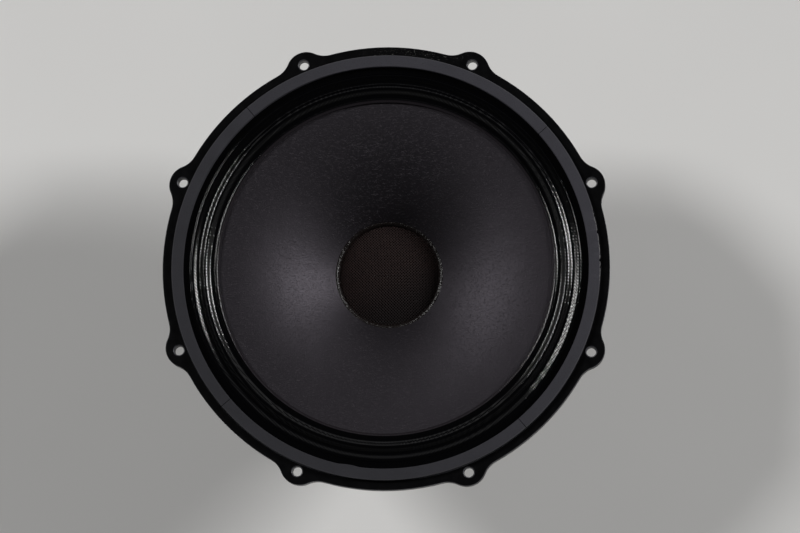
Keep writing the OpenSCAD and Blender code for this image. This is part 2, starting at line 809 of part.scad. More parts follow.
module terminal_board() {
  color("#3a2418") at_terminal(0, board_mid_z) difference() {
    translate([0, 0, -board_t]) linear_extrude(board_t) polygon(rounded_rectangle(board_w, board_h, 2));
    for (side = [-1, 1]) {
      translate([side * terminal_pitch / 2, terminal_z - board_mid_z, -board_t - overlap])
        cylinder(r = tail_r + tail_play, h = board_t + 2 * overlap, $fn = small);
      translate([side * board_screw_pitch / 2, board_screw_z - board_mid_z, -board_t - overlap])
        cylinder(d = board_screw_d + screw_play, h = board_t + 2 * overlap, $fn = small);
    }
  }
}

module board_screws() {
  head_h = 1.8;
  cross_w = 0.8;
  cross_d = 1;
  cross_length = board_screw_d * 1.2;
  shank = board_t + board_screw_length - screw_bite;
  color("#8b8c90") for (side = [-1, 1]) at_terminal(side * board_screw_pitch / 2, board_screw_z) {
    difference() {
      cylinder(d = board_screw_d * 1.9, h = head_h, $fn = small);
      for (turn = [0, 90]) rotate(turn) translate([-cross_length / 2, -cross_w / 2, head_h - cross_d])
        cube([cross_length, cross_w, head_h]);
    }
    translate([0, 0, -shank]) cylinder(d = board_screw_d, h = shank, $fn = small);
  }
}

module barrel(side) {
  collar_w = 1.2;
  collar_h = 1.5;
  rivet_w = 0.6;
  rivet_h = 0.9;
  rivet_overlap = 0.1;
  tail_length = board_t + tag_t + rivet_h + rivet_overlap;
  color("#b9bbbe") at_terminal(side * terminal_pitch / 2, terminal_z) difference() {
    union() {
      cylinder(r = barrel_r, h = barrel_length, $fn = small);
      cylinder(r = barrel_r + collar_w, h = collar_h, $fn = small);
      translate([0, 0, -tail_length]) cylinder(r = tail_r, h = tail_length, $fn = small);
      translate([0, 0, -tail_length]) cylinder(r = tail_r + rivet_w, h = rivet_h, $fn = small);
    }
    translate([0, 0, barrel_floor])
      cylinder(r = barrel_bore_r, h = barrel_length - barrel_lip - barrel_floor, $fn = small);
    translate([0, 0, barrel_floor]) cylinder(r = stem_r + plunger_clearance, h = barrel_length, $fn = small);
    translate([0, barrel_r + collar_w + overlap, plunger_bottom]) rotate([90, 0, 0])
      cylinder(d = wire_hole_d, h = 2 * (barrel_r + collar_w + overlap), $fn = small);
  }
}

module plunger(side) {
  color("#c8c9cb") at_terminal(side * terminal_pitch / 2, terminal_z) difference() {
    union() {
      translate([0, 0, plunger_bottom])
        cylinder(d = plunger_d, h = plunger_top - plunger_bottom, $fn = small);
      translate([0, 0, plunger_bottom])
        cylinder(r = stem_r, h = button_bottom - plunger_bottom, $fn = small);
    }
    translate([0, barrel_r, wire_hole_rest]) rotate([90, 0, 0])
      cylinder(d = wire_hole_d, h = 2 * barrel_r, $fn = small);
  }
}

module button(side) {
  button_r = button_d / 2;
  shade = side > 0 ? "#a3191c" : "#161617";
  dish = 0.4;
  lower_round = 0.4;
  upper_round = 1.2;
  color(shade) at_terminal(side * terminal_pitch / 2, terminal_z) rotate_extrude($fn = medium)
    polygon(rounded([
      [0, button_bottom, 0],
      [button_r, button_bottom, lower_round],
      [button_r, button_bottom + button_h, upper_round],
      [0, button_bottom + button_h - dish, 0]
    ]));
}

// The spring stands between the barrel's floor and the plunger
module terminal_spring(side) {
  wire_r = spring_wire_d / 2;
  bore_gap = 0.25;
  coil_r = barrel_bore_r - wire_r - bore_gap;
  start = barrel_floor + wire_r + spring_gap;
  end = plunger_bottom - wire_r - spring_gap;
  rings = 8 * spring_turns;
  path = [for (i = [0 : rings]) let (p = polar(coil_r, 360 * spring_turns * i / rings))
    [p[0], p[1], start + (end - start) * i / rings]];
  echo(str("gap between spring turns ", (end - start) / spring_turns - spring_wire_d));
  color("#9a9ba0") at_terminal(side * terminal_pitch / 2, terminal_z) sweep(path, wire_r, 6);
}

module solder_tag(side) {
  color("#c8b98a") at_terminal(side * terminal_pitch / 2, terminal_z) {
    translate([0, 0, -board_t - tag_t]) difference() {
      linear_extrude(tag_t) polygon(rounded_rectangle(tag_w, tag_w + 2 * tag_margin, tag_corner_r));
      translate([0, 0, -overlap]) cylinder(r = tail_r + tail_play, h = tag_t + 2 * overlap, $fn = small);
    }
    translate([-tongue_w / 2, -tongue_drop, -board_t - tag_length])
      cube([tongue_w, tag_t, tag_length - tiny]);
  }
}

// A flexible lead on one smooth curve from its tag to its joint on the former
function lead_path(side) =
  let (
    tongue_top_z = terminal_z - tongue_drop + tag_t,
    tag_end = [side * terminal_pitch / 2, -board_r + tag_length - lead_lap, tongue_top_z + lead_r + seat_gap],
    joint = terminal_angle + side * joint_angle,
    reach = former_r + joint_t + seat_gap,
    neck_end = [reach * cos(joint), reach * sin(joint), joint_z + joint_h / 2],
    outward = [cos(joint), sin(joint), 0],
    a = tag_end + [0, lead_handle, -lead_dip],
    b = neck_end + lead_handle * outward + [0, 0, lead_rise]
  )
  [for (i = [0 : lead_step_count]) let (t = i / lead_step_count, s = 1 - t)
    s * s * s * tag_end + 3 * s * s * t * a + 3 * s * t * t * b + t * t * t * neck_end];

module lead(side) {
  color(side > 0 ? "#b87a4a" : "#a89b8a") sweep(lead_path(side), lead_r, lead_side_count);
}

basket();
front_gasket();
surround();
cone();
dust_cap();
cap_adhesive();
neck_adhesive();
voice_coil_former();
voice_coil_winding();
coil_strips();
lead_joints();
spider();
spider_adhesive();
top_plate();
magnet();
yoke();
shorting_ring();
vent_screen();
motor_screws();
terminal_board();
board_screws();
barrel(1);  // barrel_positive
barrel(-1);  // barrel_negative
plunger(1);  // plunger_positive
plunger(-1);  // plunger_negative
button(1);  // button_positive
button(-1);  // button_negative
terminal_spring(1);  // spring_positive
terminal_spring(-1);  // spring_negative
solder_tag(1);  // solder_tag_positive
solder_tag(-1);  // solder_tag_negative
lead(1);  // lead_positive
lead(-1);  // lead_negative
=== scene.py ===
import math

import bmesh
import bpy
from mathutils import Matrix, Vector, noise


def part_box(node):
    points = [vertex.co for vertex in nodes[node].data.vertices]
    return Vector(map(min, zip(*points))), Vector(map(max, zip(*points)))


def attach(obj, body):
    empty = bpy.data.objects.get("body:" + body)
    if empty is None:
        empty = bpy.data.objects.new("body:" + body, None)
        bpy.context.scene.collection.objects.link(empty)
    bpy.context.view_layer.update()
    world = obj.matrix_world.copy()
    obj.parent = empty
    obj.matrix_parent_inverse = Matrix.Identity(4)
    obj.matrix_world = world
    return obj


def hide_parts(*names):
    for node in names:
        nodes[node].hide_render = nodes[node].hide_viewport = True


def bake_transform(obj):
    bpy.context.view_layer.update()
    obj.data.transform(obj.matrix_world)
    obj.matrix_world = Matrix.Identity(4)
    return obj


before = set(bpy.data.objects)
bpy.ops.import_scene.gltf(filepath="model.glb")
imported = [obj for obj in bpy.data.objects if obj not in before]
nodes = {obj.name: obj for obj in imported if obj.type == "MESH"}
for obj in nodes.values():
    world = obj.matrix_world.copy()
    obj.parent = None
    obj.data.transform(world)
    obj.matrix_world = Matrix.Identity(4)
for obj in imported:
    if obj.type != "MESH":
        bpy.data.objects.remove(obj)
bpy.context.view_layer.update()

MM = 0.001
TAU = math.tau
scene = bpy.context.scene


# Sizes read from the frame


def outer_r(node):
    """Outer radius of a round node."""
    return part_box(node)[1].x


def low_z(node):
    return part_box(node)[0].z


def top_z(node):
    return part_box(node)[1].z


flange_top = top_z("basket")
gasket_r = outer_r("front_gasket")
gasket_low = low_z("front_gasket")
gasket_top = top_z("front_gasket")
cone_r = outer_r("cone")
cone_edge_z = top_z("cone")
former_r = outer_r("voice_coil_former")
winding_r = outer_r("voice_coil_winding")
cap_r = outer_r("dust_cap")
cap_top = top_z("dust_cap")
spider_r = outer_r("spider")
floor_z = low_z("yoke")

# Sizes that the frame's boxes don't give

gasket_w = 7.7 * MM
seam_angle = math.radians(41.3)
seam_w = 0.4 * MM
gasket_parts = 4
surround_t = 0.6 * MM
surround_lip_w = 3.9 * MM
lip_overhang = 0.8 * MM
lip_ridge_inset = 2.1 * MM
lip_ridge_w = 1.3 * MM
lip_ridge_height = 0.65 * MM
lip_edge_inset = 0.3 * MM
lip_edge_w = 0.7 * MM
lip_edge_height = 0.4 * MM
roll_height = (2.2 * MM, 1.5 * MM)
roll_valley = 0.2 * MM
outer_flank_w = 1.6 * MM
wave_margin = 1.2 * MM
seat_gap = 0.3 * MM
cone_t = 1.1 * MM
cone_slope = 0.1
cone_power = 2.5
neck_gap = 0.25 * MM
cap_height = 8.0 * MM
mesh_pitch = 1.4 * MM
thread_r = 0.36 * MM
bead_overlap = 0.5 * MM
bead_w = 2.8 * MM
bead_height = 0.7 * MM
spider_t = 0.5 * MM
spider_roll = 3.0 * MM
spider_rolls = 6
spider_band_w = 10.0 * MM
spider_collar_w = 4.0 * MM
spider_gap = 0.45 * MM

gasket_inner_r = gasket_r - gasket_w
seat_z = gasket_low - surround_t
neck_r = former_r + neck_gap
cone_run = cone_r - neck_r
cone_depth = cone_edge_z - low_z("cone") - cone_t
bead_inner_r = cap_r - bead_overlap


def cone_front(r):
    """Height of the cone's front at radius r, with a gentle slope at the edge and a steep neck."""
    inward = cone_r - r
    steep = (cone_depth - cone_slope * cone_run) * (inward / cone_run) ** cone_power
    return cone_edge_z - cone_slope * inward - steep


wave_start_r = cone_r + lip_overhang
wave_end_r = gasket_inner_r - wave_margin
lip_inner_r = cone_r - surround_lip_w
lip_edge_r = lip_inner_r + lip_edge_inset
lip_ridge_r = cone_r - lip_ridge_inset
lip_z = cone_edge_z + seat_gap + surround_t
half_roll = (wave_end_r - wave_start_r) / 4
outer_crest_r = wave_start_r + 3 * half_roll
wave = [
    (wave_start_r, lip_z),
    (wave_start_r + half_roll, seat_z + roll_height[0]),
    (wave_start_r + 2 * half_roll, seat_z - roll_valley),
    (outer_crest_r, seat_z + roll_height[1]),
    (outer_crest_r + outer_flank_w, gasket_low),
]


def clamped(value):
    """The value, held between 0 and 1."""
    return min(max(value, 0.0), 1.0)


def hump(r, middle, half_w):
    """1 at the middle, and 0 beyond half_w from it."""
    return max(0.0, 1 - ((r - middle) / half_w) ** 2)


def surround_top(r):
    """Height of the surround's upper face at radius r.

    The lip follows the cone and has two small humps. From there the cloth swings between the points of
    the wave, and then it lies flat under the gasket.
    """
    if r < wave_start_r:
        flat = cone_front(min(r, cone_r)) + seat_gap + surround_t
        edge = lip_edge_height * hump(r, lip_edge_r, lip_edge_w)
        return flat + lip_ridge_height * hump(r, lip_ridge_r, lip_ridge_w) + edge
    for (r_0, z_0), (r_1, z_1) in zip(wave, wave[1:]):
        if r <= r_1:
            return z_0 + (z_1 - z_0) * (1 - math.cos(math.pi * (r - r_0) / (r_1 - r_0))) / 2
    return gasket_low


spider_inner_r = former_r + spider_gap
spider_wave_start = spider_inner_r + spider_collar_w
spider_wave_end = spider_r - spider_band_w
spider_flat_z = top_z("spider") - spider_roll / 2


def spider_top(r):
    """Height of the spider's upper face at radius r."""
    if r < spider_wave_start or r > spider_wave_end:
        return spider_flat_z
    along = (r - spider_wave_start) / (spider_wave_end - spider_wave_start)
    return spider_flat_z + spider_roll / 2 * math.sin(TAU * spider_rolls * along)


def cap_top_at(r):
    """Height of the dust cap's dome at radius r."""
    dome_r = (cap_r ** 2 + cap_height ** 2) / (2 * cap_height)
    return cap_top - dome_r + math.sqrt(dome_r ** 2 - r ** 2)


# Materials


def linear(level):
    """The share of light that a display level from 0 to 255 stands for."""
    if level <= 10:
        return level / 255 / 12.92
    return ((level / 255 + 0.055) / 1.055) ** 2.4


def srgb(red, green, blue):
    """A colour written as 0 to 255 display values."""
    return (linear(red), linear(green), linear(blue), 1.0)


class Value:
    """A socket of a material. Arithmetic on it adds Math nodes."""

    def __init__(self, shading, socket):
        self.shading = shading
        self.socket = socket

    def math(self, operation, first, second=0.0):
        return self.shading.node("ShaderNodeMath", {"operation": operation}, {0: first, 1: second})

    def __add__(self, other):
        return self.math("ADD", self, other)

    def __radd__(self, other):
        return self.math("ADD", other, self)

    def __sub__(self, other):
        return self.math("SUBTRACT", self, other)

    def __rsub__(self, other):
        return self.math("SUBTRACT", other, self)

    def __mul__(self, other):
        return self.math("MULTIPLY", self, other)

    def __rmul__(self, other):
        return self.math("MULTIPLY", other, self)

    def __pow__(self, other):
        return self.math("POWER", self, other)

    def sine(self):
        return self.math("SINE", self)

    def size(self):
        return self.math("ABSOLUTE", self)


class Shading:
    """Adds nodes to a shader tree and links them."""

    def __init__(self, tree, shader):
        self.tree = tree
        self.shader = tree.nodes[shader]

    def node(self, kind, settings=None, inputs=None, output=0):
        """Adds a node with its settings and inputs, and gives one of its outputs."""
        made = self.tree.nodes.new(kind)
        for key, value in (settings or {}).items():
            setattr(made, key, value)
        for key, value in (inputs or {}).items():
            self.feed(made.inputs[key], value)
        return Value(self, made.outputs[output])

    def feed(self, socket, value):
        """Links a value to a socket, or sets a constant on it."""
        if isinstance(value, Value):
            self.tree.links.new(value.socket, socket)
        else:
            socket.default_value = value

    def set(self, key, value):
        self.feed(self.shader.inputs[key], value)

    def split(self, vector):
        parts = self.node("ShaderNodeSeparateXYZ", None, {0: vector}).socket.node.outputs
        return [Value(self, part) for part in parts]

    def ease(self, value, low, high, first=0.0, last=1.0):
        """first below low and last above high, with a smooth step between."""
        inputs = {"Value": value, "From Min": low, "From Max": high, "To Min": first, "To Max": last}
        return self.node("ShaderNodeMapRange", {"interpolation_type": "SMOOTHSTEP"}, inputs)


class Surface(Shading):
    """A material on one Principled shader. Its patterns read object coordinates in millimetres.

    Its constants are named after the shader's inputs, such as coat_weight for Coat Weight.
    """

    def __init__(self, name, color, **constants):
        self.material = bpy.data.materials.new(name)
        self.material.use_nodes = True
        super().__init__(self.material.node_tree, "Principled BSDF")
        self.set("Base Color", color)
        for key, value in constants.items():
            self.set(key.replace("_", " ").title().replace("Ior", "IOR"), value)

    def place(self, stretch=(1, 1, 1), turn=0.0):
        """Object coordinates in millimetres, stretched and turned about the axis."""
        at = self.node("ShaderNodeTexCoord", output="Object")
        scale = [1000 * s for s in stretch]
        inputs = {"Vector": at, "Rotation": (0, 0, turn), "Scale": scale}
        return self.node("ShaderNodeMapping", None, inputs)

    def noise(self, at, scale, detail=2.0, roughness=0.5):
        inputs = {"Vector": at, "Scale": scale, "Detail": detail, "Roughness": roughness}
        return self.node("ShaderNodeTexNoise", None, inputs)

    def cells(self, at, scale):
        """Distance to the nearest of many scattered points."""
        return self.node("ShaderNodeTexVoronoi", None, {"Vector": at, "Scale": scale})

    def mix(self, share, first, second):
        return self.node("ShaderNodeMix", {"data_type": "RGBA"}, {0: share, 6: first, 7: second}, 2)

    def bump(self, height, depth):
        """Raises the surface by height times depth, in metres."""
        self.set("Normal", self.node("ShaderNodeBump", None, {"Height": height, "Distance": depth}))

    def radius(self, at):
        x, y = self.split(at)[:2]
        return (x * x + y * y) ** 0.5


def weave(surface, pitch):
    """Crossings of a plain weave, from 0 to 1, with a pitch in millimetres."""
    x, y = surface.split(surface.place())[:2]
    return (x * (math.pi / pitch)).sine() * (y * (math.pi / pitch)).sine() * 0.5 + 0.5


def cast_paint():
    """Black paint on the casting, with chips on its +Y side.

    The grey line on the flange's rounded rim is partly edge wear and partly a painted highlight.
    """
    s = Surface("black_cast_paint", srgb(6, 6, 7), roughness=0.4, specular_ior_level=0.15)
    at = s.place()
    x, y, z = s.split(at)
    front = flange_top / MM
    dust = s.ease(s.noise(at, 0.35, 5, 0.65), 0.5, 0.8)
    chip_x = 18
    chip_place = s.ease(y, 138, 146) * s.ease(z, front - 0.5, front - 0.1)
    chip_place = chip_place * (1 - s.ease((x - chip_x).size(), 22, 40))
    chips = s.ease(s.noise(at, 1.1, 4, 0.7), 0.62, 0.66) * chip_place
    paint = s.mix(dust, srgb(3, 3, 4), srgb(8, 8, 9))
    tilt = s.split(s.node("ShaderNodeNewGeometry", output="Normal"))[2]
    # The grey line on the rounded rim is partly edge wear and partly a painted highlight.
    rim = s.ease(tilt, 0.3, 0.55) * (1 - s.ease(tilt, 0.94, 0.99)) * s.ease(z, front - 1.4, front - 1.0)
    paint = s.mix(rim, paint, srgb(72, 72, 76))
    s.set("Base Color", s.mix(chips, paint, srgb(112, 110, 106)))
    s.set("Roughness", s.noise(at, 0.2, 3) * 0.2 + 0.28 - rim * 0.12)
    s.bump(s.noise(at, 1.4, 3) + s.noise(at, 0.25, 2) * 1.5 - chips * 2, 0.05 * MM)
    return s.material


def gasket_rubber():
    """Grey foamed sheet, speckled, with a frayed stretch of outer edge.

    Painted light makes it paler towards +X and +Y and darker towards -X and -Y.
    """
    s = Surface("grey_gasket_sheet", srgb(58, 58, 62), roughness=0.88, specular_ior_level=0.2)
    at = s.place()
    x, y = s.split(at)[:2]
    speck = s.ease(s.noise(at, 2.2, 3, 0.7), 0.5, 0.64)
    # Random tone, plus painted light that is paler towards +X and +Y and darker towards -X and -Y.
    shade = s.noise(at, 0.06, 3) * 0.4 + s.ease(x * 0.6 + y * 0.5, -110, 110) * 0.6
    tone = s.mix(shade, srgb(40, 40, 43), srgb(64, 63, 69))
    tone = s.mix(speck * 0.5, tone, srgb(30, 30, 33))
    edge = s.ease(s.radius(at), gasket_r / MM - 0.7, gasket_r / MM - 0.1)
    frayed = s.ease(y, -13, -6) * (1 - s.ease(y, 34, 42)) * s.ease(x, 0, 1)
    torn = s.ease(s.noise(at, 1.1, 2), 0.42, 0.56) * frayed * edge
    tone = s.mix(edge * 0.3, tone, srgb(88, 88, 90))
    s.set("Base Color", s.mix(torn, tone, srgb(122, 121, 121)))
    s.bump(s.noise(at, 2.0, 4, 0.65) + s.cells(at, 1.3) * 0.6, 0.12 * MM)
    return s.material


def doped_cloth():
    """Woven surround cloth under glossy black dope, with a greyer film on the lip.

    Each crossing of the threads catches the light.
    """
    s = Surface("glossy_doped_cloth", srgb(4, 4, 5), roughness=0.2, specular_ior_level=0.34)
    at = s.place()
    threads = weave(s, 1.05)
    pools = s.noise(at, 0.22, 4, 0.6)
    film = 1 - s.ease(s.radius(at), cone_r / MM - 2.5, cone_r / MM - 1.9)
    s.set("Base Color", s.mix(film, srgb(3, 3, 4), srgb(30, 27, 30)))
    s.set("Roughness", pools * 0.16 + 0.02 + film * 0.1)
    s.bump(threads * (1.5 - pools) + pools * 0.8 + s.noise(at, 0.9, 2) * 0.5, 0.085 * MM)
    return s.material


def cone_paper():
    """Charcoal paper pulp with loose fibres, and one pale speck low on the right."""
    s = Surface("charcoal_cone_paper", srgb(19, 17, 19), roughness=0.58, specular_ior_level=0.46,
                specular_tint=(0.96, 0.87, 1.0, 1.0))
    at = s.place()
    cloud = s.noise(at, 0.05, 4, 0.6)
    pulp = s.noise(at, 0.9, 4, 0.7)
    fibres = 0
    for turn, across in ((0.3, 2.6), (1.4, 2.2), (2.4, 2.9)):
        strand = s.noise(s.place((0.35, across, 1), turn), 1.0, 2)
        fibres = s.ease(strand, 0.64, 0.72) + fibres
    tone = s.mix(cloud, srgb(11, 10, 12), srgb(19, 17, 20))
    tone = s.mix(s.ease(pulp, 0.35, 0.65) * 0.6, tone, srgb(7, 6, 7))
    tone = s.mix(fibres * 0.15, tone, srgb(80, 75, 76))
    speck_at = (33.0, -73.0, -9.0)
    away = s.node("ShaderNodeVectorMath", {"operation": "DISTANCE"}, {0: at, 1: speck_at}, "Value")
    speck = (1 - s.ease(away + s.noise(at, 1.5) * 1.5, 1.4, 2.2)) * 0.8
    s.set("Base Color", s.mix(speck, tone, srgb(110, 105, 104)))
    s.set("Roughness", pulp * 0.16 + 0.45)
    s.bump(pulp + fibres * 0.5 + cloud * 2, 0.16 * MM)
    return s.material


def cap_thread():
    """Brown threads in a random mottle.

    Painted shade turns them evenly dark towards the lower right.
    """
    s = Surface("brown_mesh_thread", srgb(32, 23, 23), roughness=0.6, specular_ior_level=0.2)
    at = s.place()
    x, y = s.split(at)[:2]
    mottle = s.mix(s.noise(at, 0.4, 4), srgb(20, 11, 11), srgb(47, 33, 31))
    # Painted shade: 0 towards the lower right, where the threads are evenly dark, and 1 elsewhere.
    outside_painted_shade = s.ease(y * 0.9 - x * 0.45, -30, 6)
    s.set("Base Color", s.mix(outside_painted_shade, srgb(21, 14, 14), mottle))
    s.bump(s.noise(s.place((4, 4, 4)), 1.0, 2), 0.03 * MM)
    return s.material


def cap_coat():
    """The dark coat that seals the mesh from behind."""
    s = Surface("dark_sealing_coat", srgb(8, 6, 6), roughness=0.7, specular_ior_level=0.2)
    at = s.place()
    s.set("Base Color", s.mix(s.noise(at, 0.6, 3), srgb(6, 4, 4), srgb(14, 10, 10)))
    s.bump(s.noise(at, 1.5, 2), 0.05 * MM)
    return s.material


def black_glue():
    """Black glue, glossy in patches."""
    s = Surface("black_glue", srgb(17, 12, 11), roughness=0.3, specular_ior_level=0.4)
    at = s.place()
    s.set("Roughness", s.noise(at, 0.5, 3) * 0.35 + 0.12)
    s.bump(s.noise(at, 0.8, 3) + s.noise(at, 1.8, 2) * 0.8, 0.3 * MM)
    return s.material


def amber_glue():
    """Hardened amber glue under a clear skin."""
    s = Surface("amber_glue", srgb(92, 62, 30), roughness=0.22, coat_weight=0.4)
    at = s.place()
    s.set("Base Color", s.mix(s.noise(at, 0.3, 3), srgb(70, 44, 20), srgb(118, 84, 40)))
    s.bump(s.noise(at, 0.7, 2), 0.1 * MM)
    return s.material


def spider_cloth():
    """Resin-stiffened woven cloth."""
    s = Surface("amber_spider_cloth", srgb(156, 116, 52), roughness=0.72)
    at = s.place()
    threads = weave(s, 0.7)
    resin = s.noise(at, 0.08, 4, 0.6)
    tone = s.mix(resin, srgb(136, 98, 42), srgb(178, 138, 70))
    s.set("Base Color", s.mix(threads * 0.45, tone, srgb(92, 62, 26)))
    s.bump(threads, 0.16 * MM)
    return s.material


def metal(name, color, shade, roughness, grooves=0.0, axis="z"):
    """Metal with stains, and turning marks round the given axis where it has grooves."""
    s = Surface(name, color, roughness=roughness, metallic=1.0)
    at = s.place()
    stain = s.noise(at, 0.15, 4, 0.6)
    s.set("Base Color", s.mix(stain, shade, color))
    s.set("Roughness", s.noise(at, 0.4, 3) * 0.2 + (roughness - 0.1))
    y, z = s.split(at)[1:]
    along = y if axis == "y" else s.radius(at) + z
    marks = s.noise(s.node("ShaderNodeCombineXYZ", None, {0: along * 3}), 1.0, 3, 0.7)
    s.bump(marks * grooves + s.noise(at, 0.9, 3) * 0.4, 0.03 * MM)
    return s.material


def ferrite():
    """Ground ceramic with pits."""
    s = Surface("ground_ferrite", srgb(50, 50, 53), roughness=0.7)
    at = s.place()
    pits = 1 - s.ease(s.cells(at, 0.45), 0.05, 0.16)
    grind = s.noise(s.place((0.12, 2.4, 1), 0.5), 1.0, 3)
    tone = s.mix(s.noise(at, 0.1, 5, 0.7), srgb(42, 42, 45), srgb(66, 66, 69))
    s.set("Base Color", s.mix(pits * 0.6, tone, srgb(26, 26, 28)))
    s.set("Roughness", grind * 0.25 + 0.55)
    s.bump(grind * 0.5 - pits, 0.12 * MM)
    return s.material


def phenolic():
    """Brown paper laminate with a varnished face."""
    s = Surface("brown_paper_laminate", srgb(74, 44, 28), roughness=0.34, coat_weight=0.3,
                coat_roughness=0.2)
    grain = s.noise(s.place((0.25, 1, 1.6)), 0.7, 4, 0.65)
    s.set("Base Color", s.mix(grain, srgb(54, 31, 20), srgb(98, 62, 38)))
    s.bump(grain, 0.04 * MM)
    return s.material


def former_sheet():
    """Amber sheet with fine lines round it."""
    s = Surface("amber_former_sheet", srgb(170, 122, 58), roughness=0.28, coat_weight=0.4)
    z = s.split(s.place())[2]
    lines = (z * 4.2).sine() * 0.5 + 0.5
    s.set("Base Color", s.mix(lines, srgb(146, 100, 44), srgb(186, 140, 72)))
    s.bump(lines, 0.02 * MM)
    return s.material


def copper():
    """Copper wire under clear enamel."""
    s = Surface("enamelled_copper", srgb(184, 104, 60), roughness=0.3, metallic=1.0, coat_weight=0.5)
    at = s.place()
    s.set("Base Color", s.mix(s.noise(at, 0.5, 3), srgb(150, 78, 42), srgb(205, 124, 76)))
    s.bump(s.noise(at, 2.0, 2), 0.02 * MM)
    return s.material


def plastic(name, color, shade):
    """Moulded plastic, a little cloudy."""
    s = Surface(name, color, roughness=0.3, coat_weight=0.2, coat_roughness=0.15)
    at = s.place()
    s.set("Base Color", s.mix(s.noise(at, 0.6, 4), shade, color))
    s.set("Roughness", s.noise(at, 1.2, 3) * 0.2 + 0.2)
    s.bump(s.noise(at, 3.0, 2), 0.015 * MM)
    return s.material


def lead_strand():
    """Fine copper strands of the leads."""
    s = Surface("tinsel_strand", srgb(176, 122, 84), roughness=0.42, metallic=0.85)
    at = s.place()
    s.set("Base Color", s.mix(s.noise(at, 0.8, 3), srgb(132, 88, 58), srgb(206, 158, 118)))
    s.bump(s.noise(s.place((5, 5, 5)), 1.0, 2), 0.05 * MM)
    return s.material


FINISH = {
    "frame_black": cast_paint(),
    "gasket_grey": gasket_rubber(),
    "doped_cloth": doped_cloth(),
    "cone_paper": cone_paper(),
    "cap_mesh": cap_thread(),
    "cap_coat": cap_coat(),
    "black_adhesive": black_glue(),
    "amber_adhesive": amber_glue(),
    "former_sheet": former_sheet(),
    "coil_copper": copper(),
    "spider_cloth": spider_cloth(),
    "plated_steel": metal("dark_plated_steel", srgb(72, 73, 78), srgb(50, 51, 55), 0.36, 1.0),
    "ferrite": ferrite(),
    "ring_aluminium": metal("turned_aluminium", srgb(205, 206, 210), srgb(176, 178, 182), 0.3, 1.2),
    "screen_steel": metal("dark_screen_wire", srgb(88, 89, 94), srgb(60, 61, 65), 0.4),
    "screw_steel": metal("blackened_screw_steel", srgb(92, 92, 96), srgb(58, 58, 62), 0.34),
    "board_phenolic": phenolic(),
    "terminal_nickel": metal("turned_nickel", srgb(206, 204, 198), srgb(176, 174, 170), 0.2, 1.2, "y"),
    "button_red": plastic("red_plastic", srgb(158, 22, 26), srgb(132, 16, 20)),
    "button_black": plastic("black_plastic", srgb(26, 26, 28), srgb(17, 17, 19)),
    "spring_wire": metal("spring_wire", srgb(168, 169, 174), srgb(132, 133, 138), 0.28),
    "tinned_brass": metal("tinned_brass", srgb(208, 200, 172), srgb(176, 164, 130), 0.3),
    "lead_braid": lead_strand(),
}


# Making pieces

sectors = 12
weld_gap = 0.001 * MM
# Edges are shaded smooth up to these angles, in degrees.
smooth_up_to = 40
smooth_tubes_up_to = 80


def finish_piece(name, bm, slot, body=None, replaces=(), finish=None, sharp=smooth_up_to):
    """Turns a bmesh into a piece with its finish, riding on a body where one is named."""
    mesh = bpy.data.meshes.new(name)
    bm.to_mesh(mesh)
    bm.free()
    # A copy of a CAD node brings normals of its own, which don't fit its new edges.
    if "custom_normal" in mesh.attributes:
        mesh.attributes.remove(mesh.attributes["custom_normal"])
    mesh.materials.append(FINISH[finish or slot])
    mesh.shade_smooth()
    mesh.set_sharp_from_angle(angle=math.radians(sharp))
    piece = bpy.data.objects.new(name, mesh)
    scene.collection.objects.link(piece)
    if body:
        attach(piece, body)
    if replaces:
        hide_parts(*replaces)
    return piece


def spun(outline, steps, angle=TAU):
    """Spins a closed outline of (r, z) points about the axis, starting on the X axis.

    One sector is spun and then copied round, which is quicker than one long spin.
    """
    bm = bmesh.new()
    ring = [bm.verts.new((r, 0, z)) for r, z in outline]
    edges = [bm.edges.new(pair) for pair in zip(ring, ring[1:] + ring[:1])]
    about = dict(cent=(0, 0, 0), axis=(0, 0, 1), dvec=(0, 0, 0))
    bmesh.ops.spin(bm, geom=ring + edges, angle=angle / sectors, steps=round(steps / sectors), **about)
    bmesh.ops.spin(bm, geom=bm.verts[:] + bm.edges[:] + bm.faces[:], use_duplicate=True,
                   angle=angle * (sectors - 1) / sectors, steps=sectors - 1, **about)
    bmesh.ops.remove_doubles(bm, verts=bm.verts, dist=weld_gap)
    if angle < TAU:
        bmesh.ops.holes_fill(bm, edges=[edge for edge in bm.edges if edge.is_boundary], sides=0)
    bmesh.ops.recalc_face_normals(bm, faces=bm.faces)
    return bm


def shell_outline(radii, top, thickness):
    """A closed outline that follows top(r) and lies thickness deep, with rounded ends."""
    bevel = thickness / 4
    upper = [(r, top(r)) for r in radii]
    lower = [(r, top(r) - thickness) for r in reversed(radii)]
    upper[0] = (radii[0], top(radii[0]) - bevel)
    upper[-1] = (radii[-1], top(radii[-1]) - bevel)
    upper.insert(1, (radii[0] + bevel, top(radii[0])))
    upper.insert(-1, (radii[-1] - bevel, top(radii[-1])))
    return upper + lower


def spread(start, end, count):
    """Values from start to end in count even steps."""
    return [start + (end - start) * i / count for i in range(count + 1)]


def rumple(bm, move):
    """Moves each vertex by move(position)."""
    for vertex in bm.verts:
        vertex.co += move(vertex.co)


def add_part(whole, part):
    """Moves the bmesh part into the bmesh whole."""
    mesh = bpy.data.meshes.new("part")
    part.to_mesh(mesh)
    part.free()
    whole.from_mesh(mesh)
    bpy.data.meshes.remove(mesh)


